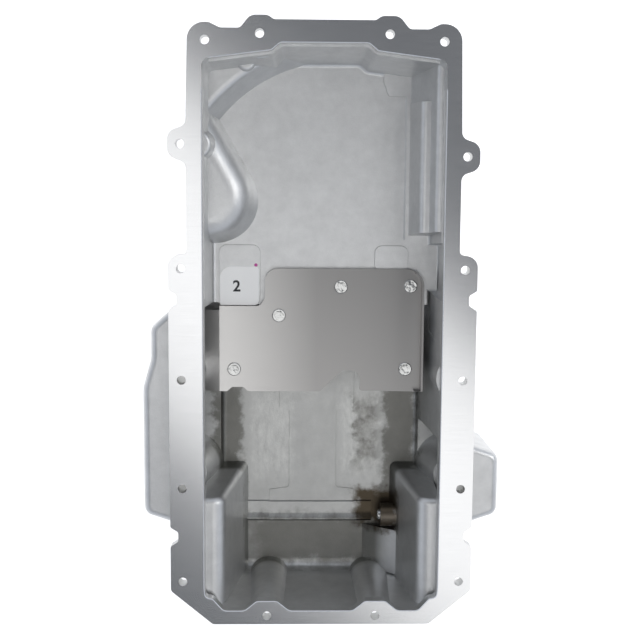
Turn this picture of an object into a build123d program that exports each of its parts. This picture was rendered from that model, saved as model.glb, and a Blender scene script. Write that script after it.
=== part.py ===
from build123d import *
import os
from math import cos, radians, tan

# Cast aluminium oil pan for a V8 engine, in millimetres.
# The gasket face lies at Z 0 and the pan hangs below it. +Y points to the shallow front end, and the
# origin is the middle of the rectangle of rail bolts that stands a pitch in front and a pitch behind.

# Flange bolts
BOLT_PITCH = 111.76
RAIL_BOLT_X = 141.45
HOLE_D = 9.0
LEFT_EAR_Y = 234.3
RIGHT_EAR_Y = 223.5
REAR_RAIL_BOLT_Y = -209.3
REAR_BOLT_X = 55.7
REAR_BOLT_Y = -245.5
CORNER_BOLT_X = 116.5
CORNER_BOLT_Y = 334.0
FRONT_BOLT_X = 63.3
FRONT_BOLT_Y = 340.6

# Flange plate
FLANGE_T = 12.0
RAIL_OUT = 153.8
RAIL_IN = 119.7
NARROW_OUT = 135.5
RAIL_FRONT_Y = 124.3
RAIL_FRONT_R = 11.5
REAR_OUT_Y = -254.6
REAR_IN_Y = -240.3
FRONT_OUT_Y = 353.8
FRONT_IN_Y = 332.0
CORNER_OUT_Y = 345.5
REAR_CHAMFER_X = 42.8
REAR_CHAMFER_Y = 35.6
EAR_R = 12.2
CORNER_LOBE_R = 16.7
FRONT_LOBE_R = 17.3
NOTCH_DEPTH = 8.0
NOTCH_LEN = 10.0
NOTCH_FLARE = 5.0
FRONT_NOTCH_Y = 81.0
REAR_NOTCH_Y = -162.0
BOSS_D = 18.0
BOSS_DROP = 7.0

# Opening in the flange
EDGE_BREAK = 0.8
FRONT_SHOULDER_Y = 291.5
FRONT_CORNER_X = 115.2
FRONT_CORNER_Y = 316.5
FRONT_STEP_X = 52.0
FRONT_STEP_Y = 324.6
FRONT_BAY_X = 43.0
REAR_BAY_X = 100.0
REAR_SEAT_DEPTH = 10.2
REAR_SEAT_TOP = 10.5
REAR_SEAT_FOOT = 23.0

# Walls
WALL = 5.0
FLOOR = 6.0
DRAFT = 2.0
TRAY_DEPTH = 74.0
TRAY_DRAFT = 4.0
FRONT_DRAFT = 10.5
UPRIGHT_R = 7.0
TRAY_FOOT_R = 4.0
SUMP_DEPTH = 125.0
SUMP_FOOT_X = 108.0
SUMP_FOOT_R = 5.0
SUMP_REAR_LEAN = 4.0
SUMP_REAR_R = 10.0
SUMP_FRONT_Y = 69.0
SUMP_FRONT_SLOPE = 12.0
RIGHT_BAY_X = 127.7
RIGHT_BAY_Y = (82.0, 138.0)

# Kick-outs
KICK_TOP = 17.0
KICK_RISE = 12.0
KICK_DEPTH = SUMP_DEPTH - KICK_RISE
KICK_IN_X = 104.0
LEFT_KICK_X = 177.0
LEFT_KICK_STEP = 8.5
LEFT_KICK_FRONT_Y = 72.0
LEFT_KICK_REAR_Y = -138.0
RIGHT_KICK_X = 177.0
RIGHT_KICK_FRONT_Y = -57.6
RIGHT_KICK_REAR_Y = -138.0
RIGHT_KICK_SKEW = 24.4
KICK_BELLY = 9.0
KICK_EDGE_R = 7.0
KICK_FOOT_R = 3.5
KICK_DRAFT = 1.0
WELL_D = 25.0
WELL_WALL = 5.0
WELL_FLARE_R = 35.0
WELL_FLARE_Z = -60.0
SCALLOP_R = 24.0

# Rear end of the sump
SHOULDER_TOP = 16.0
SHOULDER_FRONT_Y = -127.0
SHOULDER_TOP_X = 101.0
SHOULDER_FOOT_X = 79.5
SHOULDER_FRONT_SLOPE = 13.0
SHOULDER_R = 14.0
SHOULDER_END_X = 122.0
COLUMN_Y = -248.5
COLUMN_TOP_R = 18.5
COLUMN_FOOT_R = 24.5

# Front end of the tray
SHELF_HEIGHT = 29.0
SHELF_DRAFT = 26.0
SHELF_X = 19.1
SHELF_Y = 160.5
SHELF_R = 161.3
SHELF_EDGE_R = 9.0
FRONT_BOSS_R = 22.6
FRONT_BOSS_TOP = 18.0
SMALL_BOSS = (-78.0, 317.5)
SMALL_BOSS_R = 9.5
SMALL_BOSS_TOP = 38.0
BUMP_FRONT_Y = 272.0
BUMP_REAR_Y = 133.0
BUMP_FRONT_X = 112.9
BUMP_REAR_X = 33.8
BUMP_R = 47.6
BUMP_HEIGHT = 34.0
BUMP_DRAFT = 14.0
BUMP_EDGE_R = 24.0
EAR_BOSS_X = -126.0
EAR_BOSS_TOP = 17.0
EAR_BOSS_TOP_R = 14.0
EAR_BOSS_R = 20.0
LEDGE_X = 91.0
LEDGE_REAR_Y = 138.0
LEDGE_TOP = 17.0
LEDGE_TOP_X = 113.0
GALLERY_X = 98.0
GALLERY_TOP = 30.0
GALLERY_FRONT_Y = 279.0
CORNER_PAD_X = (63.0, 85.5)
CORNER_PAD_Y = (285.8, 300.0)
CORNER_PAD_HEIGHT = 2.0
FOOT_STRIP_X = 86.0

# Pads on the tray floor
PAD_HEIGHT = 2.5
PAD_R = 8.0
LEFT_PAD_X = (-108.0, -64.5)
LEFT_PAD_FRONT_Y = 132.0
RIGHT_PAD_X = (55.7, 91.5)
RIGHT_PAD_Y = (104.0, 131.7)

# Sump floor
PANEL_HEIGHT = 1.2
WEIR_Y = -170.5
WEIR_X = (-81.0, 59.0)
WEIR_MIDDLE_X = (-56.2, 39.3)
WEIR_HEIGHT = 8.0
WEIR_END_DROP = 1.8

# Ribs under the pan
RIB_T = 4.5
TRAY_RIB = 7.0
TRAY_RIB_X = (-60.0, 84.0)
TRAY_RIBS_ACROSS = (132.0, 198.0, 264.0)
TRAY_RIBS_ALONG = (-48.0, 12.0, 72.0)
SUMP_RIB = 4.0
SUMP_RIBS_ALONG = (-69.0, -23.0, 23.0, 69.0)
GUSSET_DROP = 40.0
RIGHT_GUSSETS = (0.85, 0.5, 0.25, -0.25, -0.5)
LEFT_GUSSETS = (0.85,)

# Windage plate
PLATE_T = 2.0
PLATE_LIFT = 4.0
PLATE_Z = PLATE_LIFT - TRAY_DEPTH
PLATE_LEFT_X = -107.5
PLATE_RIGHT_X = 107.5
PLATE_FRONT_Y = 107.3
PLATE_REAR_Y = -23.6
PLATE_CORNER_R = 18.0
PLATE_NOTCH_X = -59.5
PLATE_NOTCH_Y = 67.5
LIP_HEIGHT = 12.0
BEND_R = 4.0
LIP_REACH = 9.0
WING_WIDTH = 26.0
WING_GAP = 2.0
WING_FRONT_Y = 63.0
WING_DROP = 5.0

# Plate bolts
PLATE_BOLTS = [(20.6, 88.3), (93.9, 89.2), (-44.8, 57.7), (-92.1, 0.2), (89.4, 0.8)]
SCREW_D = 6.0
SCREW_LEN = 14.0
SCREW_HEX = 8.6
SCREW_HEAD = 5.0
SCREW_FACE_R = 3.6
SCREW_FACE = 0.6
SCREW_FLANGE_D = 14.2
SCREW_FLANGE_T = 1.6
SCREW_GAP = 0.2
SCREW_TIP = 2.0
PLATE_HOLE_D = 7.0
PLATE_BOSS_R = 10.0

# Drain
DRAIN_Y = -170.5
DRAIN_RISE = 17.0
DRAIN_Z = DRAIN_RISE - SUMP_DEPTH
DRAIN_D = 12.0
DRAIN_GAP = 0.15
DRAIN_BOSS_R = 15.0
DRAIN_FACE_X = 95.0
DRAIN_INNER_X = 68.0
DRAIN_INNER_R = 13.0
DRAIN_RAMP_X = 48.0
DRAIN_RAMP_Y = (-236.0, -186.0)
DRAIN_RAMP_HEIGHT = 30.0
DRAIN_SHANK = 32.0
DRAIN_HEX = 15.0
DRAIN_HEAD = 9.0
DRAIN_COLLAR_D = 20.0
DRAIN_COLLAR_T = 2.5
WASHER_T = 1.5
WASHER_D = 21.0

# Label
LABEL_T = 0.3
LABEL_X = (-106.8, -66.0)
LABEL_Y = (68.2, 109.0)
LABEL_R = 12.0

OVER = 60.0
HANGING = (Align.CENTER, Align.CENTER, Align.MAX)
STANDING = (Align.CENTER, Align.CENTER, Align.MIN)


def mirrored(points):
    """Both halves of a closed outline from its right half, listed from rear to front."""
    return points + [(-x, y) for x, y in reversed(points)]


def sharp(points):
    """A flat face inside an outline, listed anticlockwise, with sharp corners."""
    return make_face(Polyline(*points, close=True))


def rounded(points, radii):
    """A flat face inside an outline, listed anticlockwise, whose corners have their own radii."""
    return make_face(Wire(FilletPolyline(*points, radius=radii, close=True).edges()))


def grown(face, amount, kind=Kind.ARC):
    """The same outline, moved out by an amount, or in by a negative one."""
    return face if amount == 0 else offset(face, amount=amount, kind=kind)


def raised(face, foot, height, draft=0):
    """A flat outline drawn upwards from its foot."""
    return extrude(Pos(0, 0, foot) * face, amount=height, dir=(0, 0, 1), taper=draft)


def sunk(face, top, bottom, draft):
    """A flat outline drawn downwards, and smaller at its foot."""
    return extrude(Pos(0, 0, top) * face, amount=top - bottom, dir=(0, 0, -1), taper=draft)


def foot_edges(form):
    """The edges round the lowest face of a form."""
    return form.faces().sort_by(Axis.Z)[0].edges()


def along_x(points, radii, x0, x1):
    """A side profile in Y and Z, drawn along X."""
    face = Plane.YZ * rounded(points, radii)
    return Pos(x0, 0, 0) * extrude(face, amount=x1 - x0, dir=(1, 0, 0))


def along_y(points, radii, y0, y1):
    """A cross-section in X and Z, drawn along Y."""
    face = Plane.XZ * rounded(points, radii)
    return Pos(0, y0, 0) * extrude(face, amount=y1 - y0, dir=(0, 1, 0))


def opening_outline():
    """The inner edge of the gasket face."""
    half = [
        (REAR_BOLT_X - REAR_SEAT_FOOT, REAR_IN_Y),
        (REAR_BOLT_X - REAR_SEAT_TOP, REAR_IN_Y + REAR_SEAT_DEPTH),
        (REAR_BOLT_X + REAR_SEAT_TOP, REAR_IN_Y + REAR_SEAT_DEPTH),
        (REAR_BOLT_X + REAR_SEAT_FOOT, REAR_IN_Y),
        (REAR_BAY_X, REAR_IN_Y),
        (REAR_BAY_X + 11, REAR_IN_Y + 12.5),
        (RAIL_IN - 1, REAR_IN_Y + 14),
        (RAIL_IN, REAR_IN_Y + 24),
        (RAIL_IN, FRONT_SHOULDER_Y - 3.8),
        (FRONT_CORNER_X, FRONT_SHOULDER_Y + 3.8),
        (FRONT_CORNER_X, FRONT_CORNER_Y),
        (FRONT_STEP_X, FRONT_STEP_Y),
        (FRONT_BAY_X, FRONT_IN_Y),
    ]
    radii = [9, 6, 6, 9, 8, 6, 5, 6, 5, 5, 6, 5, 6]
    return rounded(mirrored(half), radii + radii[::-1])


def rail_edge(ear_y):
    """Corners of the flange's outer edge on one side, from the rear to the front, with their radii."""
    corners = [
        ((RAIL_OUT - REAR_CHAMFER_X, REAR_OUT_Y), 6),
        ((RAIL_OUT, REAR_OUT_Y + REAR_CHAMFER_Y), 6),
    ]
    for y in (REAR_NOTCH_Y, FRONT_NOTCH_Y):
        corners += [
            ((RAIL_OUT, y - NOTCH_LEN / 2 - NOTCH_FLARE), 3),
            ((RAIL_OUT - NOTCH_DEPTH, y - NOTCH_LEN / 2), 3.5),
            ((RAIL_OUT - NOTCH_DEPTH, y + NOTCH_LEN / 2), 3.5),
            ((RAIL_OUT, y + NOTCH_LEN / 2 + NOTCH_FLARE), 3),
        ]
    ear_x = RAIL_BOLT_X + EAR_R
    lobe_y = CORNER_BOLT_Y + CORNER_LOBE_R
    nose_y = FRONT_BOLT_Y + FRONT_LOBE_R
    corners += [
        ((RAIL_OUT, RAIL_FRONT_Y), RAIL_FRONT_R),
        ((NARROW_OUT, RAIL_FRONT_Y + 2.5), 5),
        ((NARROW_OUT, ear_y - EAR_R - 6), 8),
        ((ear_x, ear_y - EAR_R), EAR_R - 1),
        ((ear_x, ear_y + EAR_R), EAR_R - 1),
        ((NARROW_OUT, ear_y + EAR_R + 6), 8),
        ((CORNER_BOLT_X + CORNER_LOBE_R, lobe_y), CORNER_LOBE_R),
        ((CORNER_BOLT_X - 4, lobe_y), 8),
        ((CORNER_BOLT_X - 15, CORNER_OUT_Y), 8),
        ((FRONT_BOLT_X + 19, CORNER_OUT_Y), 6),
        ((FRONT_BOLT_X + 9, nose_y), 11),
        ((FRONT_BOLT_X - 8, nose_y), 9),
        ((FRONT_BOLT_X - 14, FRONT_OUT_Y), 6),
    ]
    return corners


def flange_outline():
    """The outer edge of the flange, with its ears, lobes and notches."""
    right = rail_edge(RIGHT_EAR_Y)
    left = [((-x, y), r) for (x, y), r in reversed(rail_edge(LEFT_EAR_Y))]
    points = [corner for corner, radius in right + left]
    return rounded(points, [radius for corner, radius in right + left])


def flange_bolts():
    """Places of the sixteen bolts through the flange."""
    places = [(-RAIL_BOLT_X, LEFT_EAR_Y), (RAIL_BOLT_X, RIGHT_EAR_Y)]
    for side in (-1, 1):
        places += [(side * RAIL_BOLT_X, row * BOLT_PITCH) for row in (1, 0, -1)]
        places += [
            (side * RAIL_BOLT_X, REAR_RAIL_BOLT_Y),
            (side * CORNER_BOLT_X, CORNER_BOLT_Y),
            (side * FRONT_BOLT_X, FRONT_BOLT_Y),
            (side * REAR_BOLT_X, REAR_BOLT_Y),
        ]
    return places


WELLS = [(-RAIL_BOLT_X, 0), (-RAIL_BOLT_X, -BOLT_PITCH), (RAIL_BOLT_X, -BOLT_PITCH)]


def tray(grow):
    """The shallow front space, or the outside of its walls."""
    rear = SUMP_FRONT_Y - 40
    sides = [(RAIL_IN, rear), (RAIL_IN, FRONT_OUT_Y), (-RAIL_IN, FRONT_OUT_Y), (-RAIL_IN, rear)]
    slope = (FRONT_STEP_Y - FRONT_CORNER_Y) / (FRONT_CORNER_X - FRONT_STEP_X)
    half = [
        (RAIL_OUT, rear),
        (RAIL_OUT, FRONT_CORNER_Y - slope * (RAIL_OUT - FRONT_CORNER_X)),
        (FRONT_STEP_X, FRONT_STEP_Y),
        (FRONT_BAY_X, FRONT_IN_Y),
    ]
    foot = -TRAY_DEPTH - (FLOOR if grow else 0)
    form = sunk(grown(sharp(sides), grow, Kind.INTERSECTION), 0, foot, TRAY_DRAFT)
    form = form & sunk(grown(sharp(mirrored(half)), grow, Kind.INTERSECTION), 0, foot, FRONT_DRAFT)
    uprights = form.edges().filter_by(lambda edge: edge.length > TRAY_DEPTH * 0.9)
    uprights = uprights.filter_by(lambda edge: edge.center().Y > FRONT_SHOULDER_Y)
    uprights = uprights.filter_by(lambda edge: abs(edge.tangent_at(0.5).Z) > 0.8)
    form = fillet(uprights, radius=UPRIGHT_R + grow)
    return fillet(foot_edges(form), radius=TRAY_FOOT_R + grow)


def right_bay(grow):
    """The place where the tray's right wall stands under the wide part of the rail."""
    plan = [
        (RAIL_IN - 30, RIGHT_BAY_Y[0]),
        (RIGHT_BAY_X, RIGHT_BAY_Y[0] - 4),
        (RIGHT_BAY_X, RIGHT_BAY_Y[1]),
        (RAIL_IN - 30, RIGHT_BAY_Y[1]),
    ]
    foot = -TRAY_DEPTH - (FLOOR if grow else 0)
    form = sunk(grown(rounded(plan, 8), grow), -FLANGE_T, foot, TRAY_DRAFT)
    return fillet(foot_edges(form), radius=(TRAY_FOOT_R + grow) / 2)


def sump(grow):
    """The deep rear space, or the outside of its walls."""
    drop = SUMP_DEPTH + (FLOOR if grow else 0)
    lean = (RAIL_IN - SUMP_FOOT_X) / (SUMP_DEPTH - FLANGE_T) * (drop - FLANGE_T)
    section = [
        (-RAIL_IN - grow + lean, -drop),
        (RAIL_IN + grow - lean, -drop),
        (RAIL_IN + grow, -FLANGE_T),
        (-RAIL_IN - grow, -FLANGE_T),
    ]
    foot_r = SUMP_FOOT_R + grow
    form = along_y(section, [foot_r, foot_r, 0, 0], REAR_IN_Y - OVER, SUMP_FRONT_Y + OVER)
    side = [
        (REAR_IN_Y - grow + SUMP_REAR_LEAN, -drop),
        (SUMP_FRONT_Y + grow - SUMP_FRONT_SLOPE, -drop),
        (SUMP_FRONT_Y + grow, -TRAY_DEPTH),
        (SUMP_FRONT_Y + grow + SUMP_FRONT_SLOPE, -FLANGE_T),
        (REAR_IN_Y - grow, -FLANGE_T),
    ]
    return form & along_x(side, [SUMP_REAR_R + grow, foot_r + 4, 0, 0, 0], -2 * RAIL_OUT, 2 * RAIL_OUT)


def left_kick(grow):
    """The pocket that widens the sump on the left."""
    x = LEFT_KICK_X
    front = LEFT_KICK_FRONT_Y
    rear = LEFT_KICK_REAR_Y
    plan = [
        (-KICK_IN_X, front),
        (-x + 34, front),
        (-x + LEFT_KICK_STEP, front - 23),
        (-x + LEFT_KICK_STEP, front - 53),
        (-x, front - 83),
        (-x, rear),
        (-x + 27, rear - KICK_BELLY),
        (-KICK_IN_X, rear),
    ]
    return kick(plan, [6, 12, 7, 30, 30, 6, 20, 6], grow)


def right_kick(grow):
    """The shorter pocket that widens the sump on the right."""
    x = RIGHT_KICK_X
    plan = [
        (KICK_IN_X, RIGHT_KICK_REAR_Y),
        (x - 27, RIGHT_KICK_REAR_Y - KICK_BELLY),
        (x, RIGHT_KICK_REAR_Y),
        (x, RIGHT_KICK_FRONT_Y - RIGHT_KICK_SKEW),
        (KICK_IN_X, RIGHT_KICK_FRONT_Y),
    ]
    return kick(plan, [6, 20, 6, 6, 6], grow)


def kick(plan, radii, grow):
    """A pocket's form, rounded along its foot and more along the top of its outside."""
    foot = -KICK_DEPTH - (FLOOR if grow else 0)
    form = sunk(grown(rounded(plan, radii), grow), grow - KICK_TOP, foot, KICK_DRAFT)
    form = fillet(foot_edges(form), radius=KICK_FOOT_R + grow * 0.8)
    return fillet(form.faces().sort_by(Axis.Z)[-1].edges(), radius=KICK_EDGE_R if grow else KICK_EDGE_R / 2)


def well_posts():
    """Posts round the bolt wells that pass down through the kick-outs, wide at their feet."""
    foot = -KICK_DEPTH - 2
    posts = []
    for x, y in WELLS:
        r = WELL_D / 2 + WELL_WALL
        top = WELL_FLARE_Z if y < 0 else PLATE_Z - 2 * WING_DROP
        flare_r = WELL_FLARE_R if y < 0 else r + 8
        posts.append(cylinder_down(x, y, 0, -foot, r))
        posts.append(Pos(x, y, foot) * Cone(flare_r, r + 3, top - foot, align=STANDING))
    return posts


def rear_shoulder(side, inset):
    """A block in a rear corner that narrows the sump; inset gives the recess behind it."""
    top_z = -SHOULDER_TOP - inset
    foot_z = -SUMP_DEPTH - OVER
    lean = (SHOULDER_TOP_X - SHOULDER_FOOT_X) / (SUMP_DEPTH - SHOULDER_TOP)
    foot_x = SHOULDER_FOOT_X + inset - lean * OVER
    profile = [
        (RAIL_OUT + OVER, top_z),
        (SHOULDER_TOP_X + inset, top_z),
        (foot_x, foot_z),
        (RAIL_OUT + OVER, foot_z),
    ]
    front = SHOULDER_FRONT_Y - inset
    block = along_y(profile, [0, SHOULDER_R - inset, 0, 0], REAR_IN_Y - OVER, front + OVER)
    slope = SHOULDER_FRONT_SLOPE / (SUMP_DEPTH - SHOULDER_TOP)
    face = [
        (REAR_IN_Y - 2 * OVER, top_z + OVER),
        (front - slope * OVER, top_z + OVER),
        (front + slope * (SUMP_DEPTH + OVER - SHOULDER_TOP), foot_z - 1),
        (REAR_IN_Y - 2 * OVER, foot_z - 1),
    ]
    block = block & along_x(face, 0, 0, RAIL_OUT + 2 * OVER)
    rim = block.faces().sort_by(Axis.Y)[-1].edges().filter_by(lambda edge: edge.center().X < RAIL_OUT)
    rim = rim.filter_by(lambda edge: edge.center().Z > foot_z + 1)
    block = fillet(rim, radius=SHOULDER_R / 2 - inset / 2)
    return block if side > 0 else mirror(block, about=Plane.YZ)


def rear_zone(reach):
    """The rear end of the pan, out to a distance on both sides."""
    block = Box(2 * reach, -REAR_IN_Y, 2 * (SUMP_DEPTH + OVER), align=(Align.CENTER, Align.MIN, Align.CENTER))
    return Pos(0, REAR_IN_Y - OVER, 0) * block


def rear_column(x, inset):
    """The half-round column that leaves room for a rear flange bolt outside the wall."""
    top = -FLANGE_T - inset
    height = SUMP_DEPTH + FLOOR + 1 - FLANGE_T
    return Pos(x, COLUMN_Y, top) * Cone(COLUMN_FOOT_R - inset, COLUMN_TOP_R - inset, height, align=HANGING)


def scallop(r):
    """The half-round recess in the sump's right wall, below the middle rail bolt."""
    top_r = RAIL_BOLT_X - RAIL_IN - SCALLOP_R + r
    drop = SUMP_DEPTH + FLOOR + 1
    return Pos(RAIL_BOLT_X, 0, 0) * Cone(r + 4, top_r, drop, align=HANGING)


def corner_shelf(inset):
    """The sloping shelf across the front left corner of the tray, curved round a far centre."""
    lean = tan(radians(SHELF_DRAFT))
    foot_z = -TRAY_DEPTH - 2 * FLOOR
    top_z = SHELF_HEIGHT - TRAY_DEPTH - inset
    near = SHELF_R + inset / cos(radians(SHELF_DRAFT))
    profile = [
        (near - 2 * FLOOR * lean, foot_z),
        (2 * SHELF_R, foot_z),
        (2 * SHELF_R, top_z),
        (near + lean * (SHELF_HEIGHT - inset), top_z),
    ]
    section = Plane.XZ * rounded(profile, [0, 0, 0, SHELF_EDGE_R - inset])
    ring = Pos(SHELF_X, SHELF_Y) * revolve(section, axis=Axis.Z)
    corner = Pos(SHELF_X - SHELF_R, SHELF_Y + SHELF_R) * Box(1.6 * SHELF_R, 1.2 * SHELF_R, 4 * TRAY_DEPTH)
    return ring & corner


def side_bump(inset):
    """The rounded bump in the tray's left side, where the outside is hollowed for a chassis part."""
    plan = [
        (-RAIL_IN - 50, BUMP_REAR_Y),
        (-BUMP_REAR_X, BUMP_REAR_Y),
        (-BUMP_FRONT_X, BUMP_FRONT_Y),
        (-RAIL_IN - 50, BUMP_FRONT_Y),
    ]
    face = grown(sharp(plan), -inset, Kind.INTERSECTION)
    form = raised(face, -TRAY_DEPTH - 1 - inset, BUMP_HEIGHT + 1, BUMP_DRAFT)
    uprights = form.edges().filter_by(lambda edge: abs(edge.tangent_at(0.5).Z) > 0.5)
    form = fillet(uprights.sort_by(Axis.X)[-1], radius=BUMP_R - inset)
    near = form.faces().sort_by(Axis.Z)[-1].edges().sort_by(Axis.X)[1:]
    return fillet(near, radius=BUMP_EDGE_R - inset)


def ear_boss():
    """The boss inside the left wall, beside the bolt in the ear."""
    cone = Cone(EAR_BOSS_R, EAR_BOSS_TOP_R, TRAY_DEPTH - EAR_BOSS_TOP, align=HANGING)
    cone = fillet(cone.faces().sort_by(Axis.Z)[-1].edges(), radius=4)
    return Pos(EAR_BOSS_X, LEFT_EAR_Y, -EAR_BOSS_TOP) * cone


def front_bosses():
    """The large boss under a front bolt and the small one beside it, over the corner shelf."""
    bosses = []
    for (x, y), r, top in (
            ((-FRONT_BOLT_X, FRONT_BOLT_Y), FRONT_BOSS_R, FRONT_BOSS_TOP),
            (SMALL_BOSS, SMALL_BOSS_R, SMALL_BOSS_TOP)):
        boss = cylinder_down(x, y, -top, TRAY_DEPTH + 1 - top, r)
        bosses.append(fillet(boss.faces().sort_by(Axis.Z)[-1].edges(), radius=4))
    return bosses


def side_ledge(inset):
    """The steep slope along the tray's right side, with an oil gallery cast along it."""
    foot_z = -TRAY_DEPTH - OVER
    side_x = RAIL_OUT + OVER
    lean = (LEDGE_TOP_X - LEDGE_X) / (TRAY_DEPTH - LEDGE_TOP)
    slope = [
        (side_x, foot_z),
        (side_x, -LEDGE_TOP - inset),
        (LEDGE_TOP_X + inset, -LEDGE_TOP - inset),
        (LEDGE_X + inset - lean * OVER, foot_z),
    ]
    gallery_lean = (GALLERY_X - LEDGE_X) / (TRAY_DEPTH - GALLERY_TOP)
    gallery = [
        (side_x, foot_z),
        (side_x, -GALLERY_TOP - inset),
        (GALLERY_X + inset, -GALLERY_TOP - inset),
        (LEDGE_X - 0.5 + inset - gallery_lean * OVER, foot_z),
    ]
    rear = LEDGE_REAR_Y + inset
    wedge = along_y(slope, [0, 0, 6 - inset, 0], rear, FRONT_OUT_Y)
    bar = along_y(gallery, [0, 0, 7 - inset, 0], rear, GALLERY_FRONT_Y - inset)
    form = wedge + bar
    end = [
        (rear - 3, foot_z),
        (FRONT_OUT_Y + OVER, foot_z),
        (FRONT_OUT_Y + OVER, 0),
        (rear + 13, 0),
    ]
    return form & along_x(end, 0, 0, side_x + 1)


def corner_pad():
    """The low pad in the front right corner of the tray."""
    (x0, x1), (y0, y1) = CORNER_PAD_X, CORNER_PAD_Y
    plan = [
        (x0 + 5.5, y0),
        (x1 + 10, y0),
        (x1 + 10, FRONT_CORNER_Y),
        (x0, FRONT_CORNER_Y),
        (x0, y1),
    ]
    return raised(rounded(plan, [3, 0, 0, 0, 3]), -TRAY_DEPTH - 1, CORNER_PAD_HEIGHT + 1, 10)


def foot_strip():
    """The low strip along the foot of the tray's right side."""
    length = CORNER_PAD_Y[0] + 2 - LEDGE_REAR_Y
    strip = Pos(FOOT_STRIP_X, LEDGE_REAR_Y, -TRAY_DEPTH - 1) * Box(
        GALLERY_X - FOOT_STRIP_X, length, CORNER_PAD_HEIGHT + 1, align=(Align.MIN, Align.MIN, Align.MIN))
    return chamfer(strip.edges().filter_by(Axis.Y).group_by(Axis.Z)[-1].sort_by(Axis.X)[0], length=1.5)


def inner_space():
    """All that is open inside the pan."""
    space = tray(0) + right_bay(0) + sump(0) + left_kick(0) + right_kick(0)
    for post in well_posts():
        space = space - post
    space = space - scallop(SCALLOP_R + WALL - 2)
    for side in (-1, 1):
        space = space - (rear_shoulder(side, 0) & rear_zone(SHOULDER_END_X))
        space = space - rear_column(side * REAR_BOLT_X, 0)
    space = space - corner_shelf(0) - side_bump(0) - ear_boss() - side_ledge(0) - corner_pad() - foot_strip()
    for boss in front_bosses():
        space = space - boss
    space = space - drain_ramp() - drain_inner_boss()
    opening = extrude(opening_outline(), amount=FLANGE_T + 1, dir=(0, 0, -1))
    edge = extrude(grown(opening_outline(), EDGE_BREAK), amount=EDGE_BREAK, dir=(0, 0, -1), taper=45)
    return space + opening + edge


def outer_form():
    """The outside of the walls, without the flange."""
    form = tray(WALL) + right_bay(WALL) + sump(WALL)
    for side in (-1, 1):
        form = form - rear_shoulder(side, WALL)
        form = form - rear_column(side * REAR_BOLT_X, WALL)
    form = form - side_bump(WALL) - side_ledge(WALL) - corner_shelf(WALL)
    form = form + left_kick(WALL) + right_kick(WALL)
    for side in (-1, 1):
        form = form - (rear_shoulder(side, WALL) & rear_zone(SHOULDER_END_X - WALL))
    return form - scallop(SCALLOP_R - 2)


def cylinder_down(x, y, top, length, r):
    """An upright cylinder that hangs from a height."""
    return Pos(x, y, top) * Cylinder(r, length, align=HANGING)


def floor_pads():
    """Low pads and bolt lands that stand up from the tray's floor."""
    pads = []
    for xs, ys in ((LEFT_PAD_X, (SUMP_FRONT_Y + 2, LEFT_PAD_FRONT_Y)), (RIGHT_PAD_X, RIGHT_PAD_Y)):
        face = Pos(sum(xs) / 2, sum(ys) / 2) * RectangleRounded(xs[1] - xs[0], ys[1] - ys[0], PAD_R)
        pads.append(raised(face, -TRAY_DEPTH - 1, PAD_HEIGHT + 1, 8))
    return pads


def plate_bosses():
    """Bosses under the windage plate, from the floor below each bolt."""
    bosses = []
    for x, y in PLATE_BOLTS:
        floor = -TRAY_DEPTH if y > SUMP_FRONT_Y + PLATE_BOSS_R else -SUMP_DEPTH
        height = PLATE_Z - floor + 2
        foot_r = PLATE_BOSS_R + height * tan(radians(DRAFT))
        bosses.append(Pos(x, y, floor - 2) * Cone(foot_r, PLATE_BOSS_R, height, align=STANDING))
    return bosses


def blind_bosses():
    """Bosses under the tray that close the bolt holes of the plate's front edge."""
    foot = PLATE_Z - SCREW_LEN - SCREW_TIP - FLOOR
    bosses = []
    for x, y in PLATE_BOLTS:
        if y > SUMP_FRONT_Y + PLATE_BOSS_R:
            boss = cylinder_down(x, y, -TRAY_DEPTH - 1, -TRAY_DEPTH - 1 - foot, PLATE_BOSS_R - 1)
            bosses.append(boss)
    return bosses


def floor_panel():
    """The raised panel in the middle of the sump's floor, wide at both ends."""
    left, right = WEIR_MIDDLE_X
    weir_front = WEIR_Y + 12.5
    plan = [
        (left, weir_front - 3),
        (right, weir_front - 3),
        (right, weir_front + 13),
        (19, weir_front + 15),
        (19, PLATE_REAR_Y - 31),
        (38.5, PLATE_REAR_Y - 29),
        (38.5, PLATE_REAR_Y + 16),
        (-45, PLATE_REAR_Y + 16),
        (-45, PLATE_REAR_Y - 29),
        (-34, PLATE_REAR_Y - 32),
        (-34, weir_front + 15),
        (left, weir_front + 12),
    ]
    face = rounded(plan, [0, 0, 1.5, 3, 3, 1.5, 3, 3, 2, 3, 3, 1.5])
    return raised(face, -SUMP_DEPTH - 1, PANEL_HEIGHT + 1, 10)


def weir():
    """The bar across the sump's floor, raised along its rear edge, with lower ends."""
    bars = []
    for (x0, x1), drop in ((WEIR_MIDDLE_X, 0), (WEIR_X, WEIR_END_DROP)):
        floor = -SUMP_DEPTH - drop
        profile = [
            (WEIR_Y - 12.5, -SUMP_DEPTH - 1),
            (WEIR_Y + 12.5, -SUMP_DEPTH - 1),
            (WEIR_Y + 11, floor + 0.45 * WEIR_HEIGHT),
            (WEIR_Y - 2, floor + 0.5 * WEIR_HEIGHT),
            (WEIR_Y - 9.5, floor + WEIR_HEIGHT),
        ]
        bars.append(along_x(profile, [0, 0, 1.2, 6, 2.5], x0, x1))
    return bars


def drain_boss():
    """The boss that the drain plug is screwed into, outside the right shoulder's wall."""
    return Pos(DRAIN_FACE_X, DRAIN_Y, DRAIN_Z) * Rot(0, 90, 0) * Cylinder(DRAIN_BOSS_R, 14, align=HANGING)


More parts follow.
